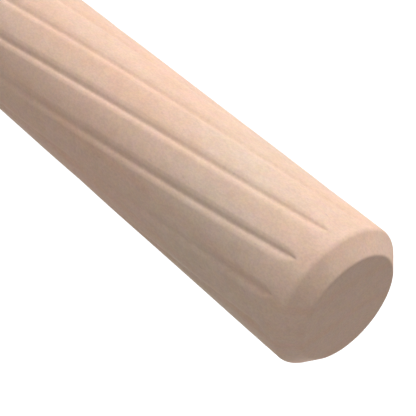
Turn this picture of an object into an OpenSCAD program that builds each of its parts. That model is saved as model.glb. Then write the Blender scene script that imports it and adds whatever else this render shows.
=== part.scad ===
/* [Pin] */
// Diameter of the pin over its lands
pin_d = 8; // [6:0.5:12]
// Overall length of the pin, end face to end face
pin_len = 40; // [25:1:60]

/* [Ends] */
// Length of each end chamfer, measured along the pin
chamfer_len = 0.92; // [0.6:0.02:1.6]
// How far each chamfer narrows the pin's radius
chamfer_in = 0.94; // [0.6:0.02:1.6]
// Radius that rolls the side of the pin over into each chamfer
shoulder_r = 0.4; // [0.2:0.1:1]
// Radius that breaks the edge of each end face
face_edge_r = 0.14; // [0.06:0.02:0.3]

/* [Flutes] */
// Number of flutes around the pin
flute_n = 12; // [8:1:14]
// Depth of a flute at its crease
flute_depth = 0.11; // [0.08:0.01:0.25]
// Width of a flute, from land to land
flute_w = 0.9; // [0.7:0.05:1.2]
// Steepness of a flute's wall where it leaves the land, as a share of its mean steepness
flute_edge = 0.2; // [0.1:0.05:0.8]
// Length of pin in which a flute would turn once around it, to the left
flute_lead = 208; // [120:4:400]
// Plain collar between each rolled shoulder and the tips of the flutes
collar_len = 0.55; // [0.3:0.05:3]
// Length over which a flute rises out of the pin at each round tip
flute_runout = 1.1; // [0.5:0.1:3]
// How far the crease has drifted towards one wall at each tip, in degrees around the pin
crease_drift = 2.6; // [0:0.2:3]
// Length of flute over which the crease drifts
drift_len = 8; // [4:1:15]

/* [Hidden] */
$fn = 96;

pin_r = pin_d / 2;
pin_mid = pin_len / 2;

// Facets in each rounded corner of the turned profile
corner_steps = 6;
// Facets in each wall of a flute, from its crease to its land
wall_steps = 3;
// Rings in each tip of a flute
tip_steps = 5;
// How far before its tip the flute cutter starts, above the pin
tip_clear = 0.05;
// Most that a flute turns around the pin from one ring to the next, in degrees
turn_step = 4;
// How far the flute cutter stands out of the pin
cutter_proud = 0.4;
// Turns the flutes so that a land, and not a crease, meets the X and Y axes at mid-length
flute_phase = 0.25;

// The turned profile, as corners from the bottom face up, each with the radius that rounds it
end_corners = [
    [pin_r - chamfer_in, 0, face_edge_r],
    [pin_r, chamfer_len, shoulder_r]
];
profile_corners = concat(
    end_corners,
    [for (i = [1, 0]) [end_corners[i].x, pin_len - end_corners[i].y, end_corners[i].z]]
);

// Where the side of the pin becomes straight, above the rolled shoulder
shoulder_turn = atan2(chamfer_in, chamfer_len);
shoulder_end = chamfer_len + shoulder_r * tan(shoulder_turn / 2);

// Flutes run between these heights
flute_low = shoulder_end + collar_len;
flute_high = pin_len - flute_low;
flute_len = flute_high - flute_low;
flute_half_angle = flute_w / pin_d * 180 / PI;

function point(corner) = [corner.x, corner.y];
function unit(v) = v / norm(v);

// Points of the arc that rounds corner, which lies between the points before and after
function rounded(before, corner, after) =
    let (
        p = point(corner),
        r = corner.z,
        back = unit(before - p),
        on = unit(after - p),
        half = acos(back * on) / 2,
        centre = p + unit(back + on) * r / sin(half),
        from_centre = p + back * r / tan(half) - centre,
        start = atan2(from_centre.y, from_centre.x)
    )
    [
        for (i = [0 : corner_steps])
            let (a = start + (180 - 2 * half) * i / corner_steps)
            centre + r * [cos(a), sin(a)]
    ];

// Share of the full depth at u, which is 0 at the crease and 1 at the land
function wall_share(u) = (1 - u) * (flute_edge + (1 - flute_edge) * (1 - u));

// Half width of a flute at a distance t from its nearer tip, as a share, which ends in a round outline
function outline(t) = t < flute_runout ? sqrt(max(0, 1 - pow(1 - t / flute_runout, 2))) : 1;

// How far a flute has risen out of the pin there, clear of it just before the tip
function rise(t) = flute_depth * wall_share(outline(t)) + max(0, -t);

// Angle of a flute's crease at height z, falling as z grows
function crease_angle(z) = -360 * (z - pin_mid) / flute_lead;

// How far a crease has drifted at a distance t from a tip
function drifted(t) = crease_drift * pow(max(0, 1 - t / drift_len), 2);

// Half of the cutter's floor as [u, share], past the land by as much as its last facet is short of it
half_floor = concat(
    [for (i = [0 : wall_steps - 1]) [i / wall_steps, wall_share(i / wall_steps)]],
    [[1 + 1 / wall_steps, -wall_share(1 - 1 / wall_steps)]]
);
cutter_floor = concat(
    [for (i = [wall_steps : -1 : 1]) [-half_floor[i].x, half_floor[i].y]],
    half_floor
);

// Distances from a tip at which the cutter has a ring, closing up on the round tip
tip_rings = concat([-tip_clear], [for (i = [1 : tip_steps - 1]) flute_runout * (1 - cos(90 * i / tip_steps))]);
main_len = flute_len - 2 * flute_runout;
main_steps = ceil(360 * main_len / flute_lead / turn_step);
ring_heights = concat(
    [for (t = tip_rings) flute_low + t],
    [for (i = [0 : main_steps]) flute_low + flute_runout + main_len * i / main_steps],
    [for (i = [tip_steps - 1 : -1 : 0]) flute_high - tip_rings[i]]
);

// One ring of the cutter at height z: its floor, then its two corners outside the pin
function cutter_ring(z) =
    let (
        lift = rise(min(z - flute_low, flute_high - z)),
        drift = drifted(z - flute_low) - drifted(flute_high - z),
        edge = flute_half_angle * half_floor[wall_steps].x
    )
    concat(
        [
            for (f = cutter_floor)
                let (
                    a = crease_angle(z) + f.x * flute_half_angle + drift * max(0, 1 - abs(f.x)),
                    r = pin_r - flute_depth * f.y + lift
                )
                [r * cos(a), r * sin(a), z]
        ],
        [
            for (side = [1, -1])
                let (a = crease_angle(z) + side * edge, r = pin_r + cutter_proud)
                [r * cos(a), r * sin(a), z]
        ]
    );

// A tool shape that rolls one flute: rings joined by triangles, closed at both ends
module flute_cutter() {
    rings = [for (z = ring_heights) cutter_ring(z)];
    n = len(rings);
    m = len(rings[0]);
    bottom = [for (j = [m - 1 : -1 : 0]) j];
    top = [for (j = [0 : m - 1]) (n - 1) * m + j];
    sides = [
        for (i = [0 : n - 2], j = [0 : m - 1])
            let (a = i * m + j, b = i * m + (j + 1) % m)
            each [[a, b, b + m], [a, b + m, a + m]]
    ];
    polyhedron([for (ring = rings) each ring], concat([bottom], sides, [top]), convexity = 4);
}

// The pin as turned, before the flutes are rolled into it
module turned_blank() {
    before = concat([[0, 0]], [for (i = [0 : 2]) point(profile_corners[i])]);
    after = concat([for (i = [1 : 3]) point(profile_corners[i])], [[0, pin_len]]);
    rotate_extrude()
        polygon(concat(
            [[0, 0]],
            [for (i = [0 : 3]) each rounded(before[i], profile_corners[i], after[i])],
            [[0, pin_len]]
        ));
}

module dowel_pin() {
    color("BurlyWood")
        difference() {
            turned_blank();
            for (k = [0 : flute_n - 1])
                rotate([0, 0, 360 * (k + flute_phase) / flute_n])
                    flute_cutter();
        }
}

dowel_pin();
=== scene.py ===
"""A spiral-fluted wooden dowel pin, standing on its end on a plain pale floor."""

from math import atan2, pi, radians, tan

import bpy
import numpy as np
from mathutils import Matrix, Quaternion, Vector


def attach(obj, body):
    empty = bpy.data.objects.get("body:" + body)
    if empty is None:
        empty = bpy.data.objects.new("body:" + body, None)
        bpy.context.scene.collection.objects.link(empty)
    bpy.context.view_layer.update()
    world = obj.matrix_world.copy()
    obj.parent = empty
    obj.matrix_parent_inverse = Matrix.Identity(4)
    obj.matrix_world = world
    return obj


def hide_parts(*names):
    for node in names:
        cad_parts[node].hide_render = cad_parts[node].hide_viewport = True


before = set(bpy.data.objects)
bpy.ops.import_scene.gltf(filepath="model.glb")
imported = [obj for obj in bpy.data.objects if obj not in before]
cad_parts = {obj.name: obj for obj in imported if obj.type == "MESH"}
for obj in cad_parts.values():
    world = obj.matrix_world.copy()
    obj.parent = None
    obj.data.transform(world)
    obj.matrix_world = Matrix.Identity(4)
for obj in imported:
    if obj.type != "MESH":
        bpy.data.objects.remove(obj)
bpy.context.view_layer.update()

MM = 0.001

# The pin's own sizes, as in the part's source: in millimetres, with the phase as a share of the flutes'
# pitch and the drift in degrees
PIN_R = 4.0
PIN_LEN = 40.0
CHAMFER_LEN = 0.92
CHAMFER_IN = 0.94
SHOULDER_R = 0.4
FLUTE_N = 12
FLUTE_DEPTH = 0.11
FLUTE_W = 0.9
FLUTE_LEAD = 208.0
COLLAR_LEN = 0.55
FLUTE_RUNOUT = 1.1
FLUTE_PHASE = 0.25
CREASE_DRIFT = 2.6
DRIFT_LEN = 8.0

# The dressed surface of a flute, whose crease is soft: its width and depth as shares of the sharp one's,
# how much of its depth is a plain hollow, and how narrow the groove is that takes up the rest
SOFT_WIDTH = 0.909
SOFT_DEPTH = 0.878
HOLLOW_SHARE = 0.30
GROOVE_POWER = 5.7

# How much narrower one wall and wider the other is than half a flute, and how far a flute's edges drift
# with its crease, as shares
SKEW = 0.150
EDGE_DRIFT = 0.21

# How far the dressed creases lie around the pin from the sharp ones, in degrees
SOFT_SHIFT = 0.22

# In millimetres: how high the pressed wood stands up beside a flute, how much later and over what length
# its tip rises out of the pin, and how softly the edge of each end face is broken
LIP = 0.0072
SOFT_TIP = 0.15
SOFT_RUNOUT = 0.85
SOFT_EDGE_R = 0.26

# Rows of the mesh: around each rounded corner, on the end face from its smallest ring outwards, on the
# chamfer and the collar, over the flutes' ends, and from there to the middle
FACE_EDGE_STEPS = 8
SHOULDER_STEPS = 12
FACE_RINGS = 12
SMALLEST_RING = 0.15
CHAMFER_ROWS = 7
COLLAR_ROWS = 5
END_ROWS = 26
END_REACH = 1.3
SIDE_ROWS = 46

# Columns of the mesh: across a flute, closer together at its crease and reaching a little past its edges,
# and across a land
FLUTE_COLUMNS = 25
FLUTE_GATHER = 1.15
FLUTE_REACH = 1.25
LAND_COLUMNS = 8

# Share of a tip's rounding past which its outline narrows no more, so that a flute keeps some width
ROUND_LIMIT = 0.9999

# Wood: its mean colour, the tints that its patterns lay over it, from one to the other, and its gloss
WOOD = (0.902, 0.649, 0.506, 1)
PALER = (1.042, 1.054, 1.05, 1)
DEEPER = (0.958, 0.946, 0.95, 1)
PINKER = (1.015, 0.989, 1.003, 1)
GREENER = (0.985, 1.011, 0.997, 1)
BLUER = (1.0, 1.0, 1.05, 1)
YELLOWER = (1.0, 1.0, 0.95, 1)
WARM_STRETCH = (1.04, 0.975, 0.965, 1)
COOL_STRETCH = (0.96, 1.025, 1.035, 1)
GROWTH_LINE = (1.0, 0.965, 0.945, 1)
RAY_FLECK = (0.91, 0.89, 0.92, 1)
WHITE = (1, 1, 1, 1)
ROUGHNESS = (0.58, 0.66)
SPECULAR_LEVEL = 0.1

# Each pattern's grains in a metre, across the pin, across it again and along it
STRETCH_SCALE = (40, 40, 110)
TONE_SCALE = (1300, 1300, 800)
FIBRE_SCALE = (8200, 8200, 5000)
CAST_SCALE = (1100, 1100, 850)
FINE_CAST_SCALE = (4600, 4600, 3800)
RAY_SCALE = (5200, 5200, 1900)
SWAY_SCALE = (160, 160, 60)

# The part of each pattern's values over which its tint, or the gloss, goes from one end to the other
STRETCH_RANGE = (0.0, 1.0)
TONE_RANGE = (0.1, 0.9)
FIBRE_RANGE = (0.3, 0.7)
CAST_RANGE = (0.2, 0.8)
GROWTH_RANGE = (0.8, 1.0)
RAY_RANGE = (0.76, 0.84)
GLOSS_RANGE = (0.2, 0.8)

# Growth rings: where the pith lies, how much its height counts in a ring's distance from it, the rings'
# width and how far they sway; and how high the fibres stand. The lengths are in metres.
PITH = (0.021, 0.034, 0.0)
PITH_LEAN = 0.12
RING_WIDTH = 0.0021
SWAY = 0.0016
FIBRE_RELIEF = 0.0000015

# The floor: how far it reaches each way in metres, its glow and its own grey where it is seen, and its grey
# as it lights the pin
FLOOR_REACH = 3.0
FLOOR_GLOW = 0.75
FLOOR_SEEN = (0.8, 0.8, 0.8, 1)
FLOOR_BOUNCE = (0.75, 0.75, 0.75, 1)

# Camera: where it stands, what it looks at, how far it is rolled, and its lens, film and clipping distances
CAMERA_AT = (0.00641, -0.057018, 0.06718)
CAMERA_AIM = (0.001037, -0.003915, 0.032706)
CAMERA_ROLL = 129.865
CAMERA_LENS = 113.0
FILM_WIDTH = 36.0
CLIP_START = 0.005
CLIP_END = 20.0

# Lamps: a low strip beside the pin, a fainter one further round, a wide one in front, and one behind it.
# They face the pin's axis, at a share of its length. Places and sizes are in metres and powers in watts.
LAMP_DISTANCE = 0.15
LAMP_AIM = 0.8
KEY_AZIMUTH = -149.4
KEY_HEIGHT = 0.0165
KEY_SIZE = (0.091, 0.014)
KEY_POWER = 0.13
FILL_AZIMUTH = 182.0
FILL_HEIGHT = 0.0187
FILL_SIZE = (0.12, 0.03)
FILL_POWER = 0.0124
FRONT_AZIMUTH = -112.0
FRONT_HEIGHT = 0.04
FRONT_SIZE = (0.16, 0.05)
FRONT_POWER = 0.0211
BACK_AZIMUTH = 92.0
BACK_HEIGHT = 0.03
BACK_SIZE = (0.05, 0.05)
BACK_POWER = 0.05

# Light of the surroundings, and how much brighter they are towards the key lamp, its left and upwards
AMBIENT = 0.348
AMBIENT_LEAN = (-0.059, 0.015, -0.05)


def flute_start():
    """Height at which the flutes begin, above the rolled shoulder and the plain collar."""
    turn = atan2(CHAMFER_IN, CHAMFER_LEN)
    return CHAMFER_LEN + SHOULDER_R * tan(turn / 2) + COLLAR_LEN


def flute_half_angle():
    """Half the width of a dressed flute, in degrees around the pin."""
    return np.degrees(FLUTE_W * SOFT_WIDTH / 2 / PIN_R)


def rounded(before, corner, after, radius, steps):
    """Points of the arc that rounds a corner of the turned profile."""
    before, corner, after = (np.array(p, float) for p in (before, corner, after))
    back = (before - corner) / np.linalg.norm(before - corner)
    on = (after - corner) / np.linalg.norm(after - corner)
    half = np.arccos(back @ on) / 2
    middle = (back + on) / np.linalg.norm(back + on)
    centre = corner + middle * radius / np.sin(half)
    first = corner + back * radius / np.tan(half) - centre
    start = np.arctan2(first[1], first[0])
    angles = start + (pi - 2 * half) * np.linspace(0, 1, steps + 1)
    return centre + radius * np.stack([np.cos(angles), np.sin(angles)], axis=1)


def between(a, b, n):
    """n points between a and b, without the two ends."""
    t = np.linspace(0, 1, n + 2)[1:-1, None]
    return (1 - t) * np.array(a) + t * np.array(b)


def lower_profile():
    """The turned profile from the bottom face up to the flutes' tips, as rows of (radius, height)."""
    face = (PIN_R - CHAMFER_IN, 0)
    edge = (PIN_R, CHAMFER_LEN)
    side = (PIN_R, PIN_LEN / 2)
    face_arc = rounded((0, 0), face, edge, SOFT_EDGE_R, FACE_EDGE_STEPS)
    shoulder_arc = rounded(face, edge, side, SHOULDER_R, SHOULDER_STEPS)
    rings = np.linspace(SMALLEST_RING, 1, FACE_RINGS)[:-1] * face_arc[0][0]
    inner = [(r, 0) for r in rings]
    chamfer = between(face_arc[-1], shoulder_arc[0], CHAMFER_ROWS)
    collar = between(shoulder_arc[-1], (PIN_R, flute_start()), COLLAR_ROWS)
    return np.concatenate([inner, face_arc, chamfer, shoulder_arc, collar])


def profile():
    """The whole turned profile, with rows close together where the flutes run out."""
    low = lower_profile()
    tip = flute_start()
    past_tip = tip + FLUTE_RUNOUT * END_REACH
    heights = np.concatenate([
        np.linspace(tip, past_tip, END_ROWS),
        np.linspace(past_tip, PIN_LEN / 2, SIDE_ROWS)[1:],
    ])
    half = np.concatenate([low, [(PIN_R, z) for z in heights]])
    mirrored = half[-2::-1] * (1, -1) + (0, PIN_LEN)
    return np.concatenate([half, mirrored])


def flute_columns():
    """Angles in degrees, from a crease, of the columns in one pitch: close together in the flute."""
    share = np.linspace(-1, 1, FLUTE_COLUMNS)
    inside = np.sign(share) * np.abs(share) ** FLUTE_GATHER * flute_half_angle() * FLUTE_REACH
    pitch = 360 / FLUTE_N
    land = np.linspace(inside[-1], pitch + inside[0], LAND_COLUMNS)[1:-1]
    return np.concatenate([inside, land])


def flute_depth(from_crease, height):
    """Depth of the flute in millimetres, at degrees from the crease before it drifts, and at a height."""
    from_tip = np.minimum(height - flute_start(), PIN_LEN - flute_start() - height) - SOFT_TIP
    outline = np.sqrt(1 - np.clip(1 - from_tip / SOFT_RUNOUT, 0, ROUND_LIMIT) ** 2)
    wall = flute_half_angle() * np.where(from_crease > 0, 1 - SKEW, 1 + SKEW) * outline
    across = np.abs(from_crease) / wall
    hollow = np.maximum(0, 1 - across ** 2)
    share = HOLLOW_SHARE * hollow + (1 - HOLLOW_SHARE) * hollow ** GROOVE_POWER
    lip = LIP * outline * np.minimum(1, across) ** 2 * (1 - across_land(from_crease, wall)) ** 2
    return np.where(from_tip > 0, FLUTE_DEPTH * SOFT_DEPTH * outline * share - lip, 0)


def across_land(from_crease, wall):
    """How far it is across the land, from 0 at the flute's edge to 1 midway to the next flute."""
    beyond = np.abs(from_crease) - wall
    return np.clip(beyond / (180 / FLUTE_N - wall), 0, 1)


def crease_drift(height):
    """How far the crease has drifted at a height, in degrees, one way at each end."""
    from_low, from_high = height - flute_start(), PIN_LEN - flute_start() - height
    low, high = (np.clip(1 - t / DRIFT_LEN, 0, 1) ** 2 for t in (from_low, from_high))
    return CREASE_DRIFT * (low - high)


def pin_mesh():
    """The pin as one closed grid, with columns that follow the twist of the flutes."""
    rows = profile()
    pitch = 360 / FLUTE_N
    column = flute_columns()
    flutes = (np.arange(FLUTE_N) + FLUTE_PHASE) * pitch + SOFT_SHIFT
    start = (flutes[:, None] + column[None]).ravel()
    from_crease = np.tile((column + pitch / 2) % pitch - pitch / 2, FLUTE_N)
    radius, height = rows[:, :1], rows[:, 1:]
    twist = -360 * (height - PIN_LEN / 2) / FLUTE_LEAD
    follows = np.interp(np.abs(from_crease), [0, flute_half_angle(), pitch / 2], [1, EDGE_DRIFT, 0])
    drift = crease_drift(height) * follows
    angle = np.radians(start + twist + drift)
    r = radius - flute_depth(from_crease, height)
    points = np.stack([r * np.cos(angle), r * np.sin(angle), np.broadcast_to(height, r.shape)], axis=-1)
    n, m = r.shape
    verts = np.concatenate([points.reshape(-1, 3), [(0, 0, 0), (0, 0, PIN_LEN)]]) * MM
    i, j = np.meshgrid(np.arange(n - 1), np.arange(m), indexing="ij")
    a, b = i * m + j, i * m + (j + 1) % m
    quads = np.stack([a, b, b + m, a + m], axis=-1).reshape(-1, 4).tolist()
    ring = np.arange(m)
    beside = (ring + 1) % m
    bottom = np.stack([np.full(m, n * m), beside, ring], axis=1).tolist()
    top = np.stack([np.full(m, n * m + 1), (n - 1) * m + ring, (n - 1) * m + beside], axis=1).tolist()
    mesh = bpy.data.meshes.new("dowel_pin_wood")
    mesh.from_pydata(verts.tolist(), [], quads + bottom + top)
    mesh.shade_smooth()
    mesh.validate()
    return mesh


class Nodes:
    """A node tree, with short calls for adding nodes and linking them."""

    def __init__(self, tree):
        self.tree = tree
        self.tree.nodes.clear()

    def add(self, kind, **values):
        """Adds a node. Values set its properties by name where it has them, and its sockets otherwise."""
        node = self.tree.nodes.new("ShaderNode" + kind)
        for key, value in values.items():
            if hasattr(node, key):
                setattr(node, key, value)
            else:
                self.put(node.inputs[key.replace("_", " ")], value)
        return node

    def put(self, socket, value):
        """Links a socket to another node's socket, or sets its own value."""
        if isinstance(value, bpy.types.NodeSocket):
            self.tree.links.new(value, socket)
        else:
            socket.default_value = value

    def math(self, operation, *values):
        """A Math node on the values."""
        node = self.add("Math", operation=operation)
        for socket, value in zip(node.inputs, values):
            self.put(socket, value)
        return node.outputs[0]

    def shown(self):
        """1 on rays that show the surroundings, straight, in gloss or through glass, and 0 on others."""
        path = self.add("LightPath")
        seen = self.math("MAXIMUM", path.outputs["Is Camera Ray"], path.outputs["Is Glossy Ray"])
        return self.math("MAXIMUM", seen, path.outputs["Is Transmission Ray"])

    def stretched(self, vector, scale):
        """A vector scaled by a different amount on each axis."""
        node = self.add("VectorMath", operation="MULTIPLY")
        self.put(node.inputs[0], vector)
        self.put(node.inputs[1], scale)
        return node.outputs[0]

    def noise(self, vector, scale, seed, detail=1.0):
        """Noise with as many grains in a metre as scale says on each axis, and equally strong octaves."""
        grains = self.stretched(vector, scale)
        node = self.add("TexNoise", noise_dimensions="4D", Vector=grains, W=seed, Scale=1.0)
        self.put(node.inputs["Detail"], detail)
        self.put(node.inputs["Roughness"], 1.0)
        return node.outputs["Fac"]

    def remap(self, value, low, high, to_low=0.0, to_high=1.0):
        """A value taken from one range to another, smoothly and clamped."""
        node = self.add("MapRange", interpolation_type="SMOOTHSTEP", Value=value)
        for key, number in (("From Min", low), ("From Max", high), ("To Min", to_low), ("To Max", to_high)):
            node.inputs[key].default_value = number
        return node.outputs[0]

    def blend(self, amount, first, second, mode="MIX"):
        """Two colours mixed."""
        node = self.add("Mix", data_type="RGBA", blend_type=mode)
        self.put(node.inputs[0], amount)
        self.put(node.inputs[6], first)
        self.put(node.inputs[7], second)
        return node.outputs[2]

    def tinted(self, colour, amount, low, high):
        """A colour multiplied by a tint that goes from low to high with an amount."""
        return self.blend(1.0, colour, self.blend(amount, low, high), mode="MULTIPLY")


def new_material(name):
    """An empty node material and its tree."""
    material = bpy.data.materials.new(name)
    material.use_nodes = True
    return material, Nodes(material.node_tree)


def pale_beech():
    """Bare, close-grained, slightly pink wood with soft blotches, fine mottling and faint growth lines."""
    material, n = new_material("pale_beech")
    where = n.add("TexCoord").outputs["Object"]
    stretch = n.noise(where, STRETCH_SCALE, seed=53.8, detail=0.0)
    tone = n.noise(where, TONE_SCALE, seed=2.0)
    fibres = n.noise(where, FIBRE_SCALE, seed=3.0)
    cast = n.noise(where, CAST_SCALE, seed=4.0)
    fine_cast = n.noise(where, FINE_CAST_SCALE, seed=5.0)
    warmth = n.noise(where, CAST_SCALE, seed=6.0)
    fine_warmth = n.noise(where, FINE_CAST_SCALE, seed=7.0)
    rays = n.noise(where, RAY_SCALE, seed=8.0, detail=0.0)
    wood = n.tinted(WOOD, n.remap(fibres, *FIBRE_RANGE), DEEPER, PALER)
    wood = n.tinted(wood, n.remap(tone, *TONE_RANGE), DEEPER, PALER)
    wood = n.tinted(wood, n.remap(stretch, *STRETCH_RANGE), COOL_STRETCH, WARM_STRETCH)
    wood = n.tinted(wood, n.remap(cast, *CAST_RANGE), GREENER, PINKER)
    wood = n.tinted(wood, n.remap(fine_cast, *CAST_RANGE), GREENER, PINKER)
    wood = n.tinted(wood, n.remap(warmth, *CAST_RANGE), YELLOWER, BLUER)
    wood = n.tinted(wood, n.remap(fine_warmth, *CAST_RANGE), YELLOWER, BLUER)
    wood = n.tinted(wood, n.remap(growth_lines(n, where), *GROWTH_RANGE), WHITE, GROWTH_LINE)
    wood = n.tinted(wood, n.remap(rays, *RAY_RANGE), WHITE, RAY_FLECK)
    bump = n.add("Bump", Strength=1.0, Distance=FIBRE_RELIEF, Height=fibres)
    shader = n.add(
        "BsdfPrincipled",
        Base_Color=wood,
        Roughness=n.remap(tone, *GLOSS_RANGE, *ROUGHNESS),
        Specular_IOR_Level=SPECULAR_LEVEL,
        Normal=bump.outputs[0],
    )
    n.put(n.add("OutputMaterial").inputs["Surface"], shader.outputs[0])
    return material


def growth_lines(n, where):
    """Rings about a pith that lies well outside the pin, a little uneven, as waves from 0 to 1."""
    sway = n.noise(where, SWAY_SCALE, seed=9.0)
    offset = n.add("VectorMath", operation="SUBTRACT")
    n.put(offset.inputs[0], where)
    n.put(offset.inputs[1], PITH)
    level = n.stretched(offset.outputs[0], (1, 1, PITH_LEAN))
    distance = n.add("VectorMath", operation="LENGTH")
    n.put(distance.inputs[0], level)
    swayed = n.math("MULTIPLY_ADD", sway, SWAY, distance.outputs["Value"])
    wave = n.math("SINE", n.math("MULTIPLY", swayed, 2 * pi / RING_WIDTH))
    return n.math("MULTIPLY_ADD", wave, 0.5, 0.5)


def floor_material():
    """A white floor that shows white and still takes the pin's shadow."""
    material, n = new_material("floor_white")
    seen = n.add("BsdfDiffuse", Color=FLOOR_SEEN)
    glow = n.add("Emission", Color=WHITE, Strength=FLOOR_GLOW)
    both = n.add("AddShader")
    n.put(both.inputs[0], seen.outputs[0])
    n.put(both.inputs[1], glow.outputs[0])
    bounce = n.add("BsdfDiffuse", Color=FLOOR_BOUNCE)
    mix = n.add("MixShader")
    n.put(mix.inputs[0], n.shown())
    n.put(mix.inputs[1], bounce.outputs[0])
    n.put(mix.inputs[2], both.outputs[0])
    out = n.add("OutputMaterial")
    n.put(out.inputs["Surface"], mix.outputs[0])
    return material


def add_pin():
    """The pin, in place of the plain solid."""
    pin = bpy.data.objects.new("dowel_pin_wood", pin_mesh())
    bpy.context.scene.collection.objects.link(pin)
    pin.data.materials.append(pale_beech())
    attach(pin, "root")
    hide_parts("dowel_pin")


def add_floor():
    """A wide white floor under the pin."""
    mesh = bpy.data.meshes.new("floor")
    far = FLOOR_REACH
    corners = [(-far, -far, 0), (far, -far, 0), (far, far, 0), (-far, far, 0)]
    mesh.from_pydata(corners, [], [(0, 1, 2, 3)])
    floor = bpy.data.objects.new("floor", mesh)
    floor.data.materials.append(floor_material())
    bpy.context.scene.collection.objects.link(floor)


def add_world():
    """A white surrounding, dimmer as a light than as a background, and a little brighter on one side."""
    world = bpy.data.worlds.new("studio")
    bpy.context.scene.world = world
    world.use_nodes = True
    n = Nodes(world.node_tree)
    lean = n.add("VectorMath", operation="DOT_PRODUCT")
    n.put(lean.inputs[0], n.add("TexCoord").outputs["Generated"])
    n.put(lean.inputs[1], ambient_lean())
    light = n.math("ADD", lean.outputs["Value"], AMBIENT)
    level = n.add("Mix", data_type="FLOAT")
    n.put(level.inputs[0], n.shown())
    n.put(level.inputs[2], light)
    n.put(level.inputs[3], 1.0)
    background = n.add("Background", Color=WHITE, Strength=level.outputs[0])
    n.put(n.add("OutputWorld").inputs["Surface"], background.outputs[0])


def ambient_lean():
    """How much brighter the surroundings are towards the key lamp, its left and upwards, as one vector."""
    ahead = level_direction(KEY_AZIMUTH)
    up = Vector((0, 0, 1))
    along, left, upward = AMBIENT_LEAN
    return ahead * along + up.cross(ahead) * left + up * upward


def level_direction(azimuth):
    """The level direction at an azimuth in degrees."""
    return Vector((np.cos(radians(azimuth)), np.sin(radians(azimuth)), 0))


def add_lamp(name, azimuth, height, size, power):
    """A strip lamp that faces the upper part of the pin."""
    lamp = bpy.data.lights.new(name, "AREA")
    lamp.shape = "RECTANGLE"
    lamp.size, lamp.size_y = size
    lamp.energy = power
    holder = bpy.data.objects.new(name, lamp)
    bpy.context.scene.collection.objects.link(holder)
    holder.location = level_direction(azimuth) * LAMP_DISTANCE + Vector((0, 0, height))
    aim = Vector((0, 0, PIN_LEN * LAMP_AIM * MM)) - holder.location
    holder.rotation_mode = "QUATERNION"
    holder.rotation_quaternion = aim.to_track_quat("-Z", "Y")
    holder.visible_camera = False


def add_lamps():
    """The key, fill and front lamps, and the back lamp, which lights the side away from them."""
    add_lamp("key", KEY_AZIMUTH, KEY_HEIGHT, KEY_SIZE, KEY_POWER)
    add_lamp("fill", FILL_AZIMUTH, FILL_HEIGHT, FILL_SIZE, FILL_POWER)
    add_lamp("front", FRONT_AZIMUTH, FRONT_HEIGHT, FRONT_SIZE, FRONT_POWER)
    add_lamp("back", BACK_AZIMUTH, BACK_HEIGHT, BACK_SIZE, BACK_POWER)


def add_camera():
    """The camera at the photograph's angle."""
    data = bpy.data.cameras.new("camera")
    data.lens = CAMERA_LENS
    data.sensor_width = FILM_WIDTH
    data.clip_start = CLIP_START
    data.clip_end = CLIP_END
    camera = bpy.data.objects.new("camera", data)
    bpy.context.scene.collection.objects.link(camera)
    camera.location = CAMERA_AT
    look = Vector(CAMERA_AIM) - Vector(CAMERA_AT)
    roll = Quaternion((0, 0, 1), radians(CAMERA_ROLL))
    camera.rotation_mode = "QUATERNION"
    camera.rotation_quaternion = look.to_track_quat("-Z", "Y") @ roll
    bpy.context.scene.camera = camera


bpy.context.scene.view_settings.view_transform = "Standard"
add_pin()
add_floor()
add_world()
add_lamps()
add_camera()
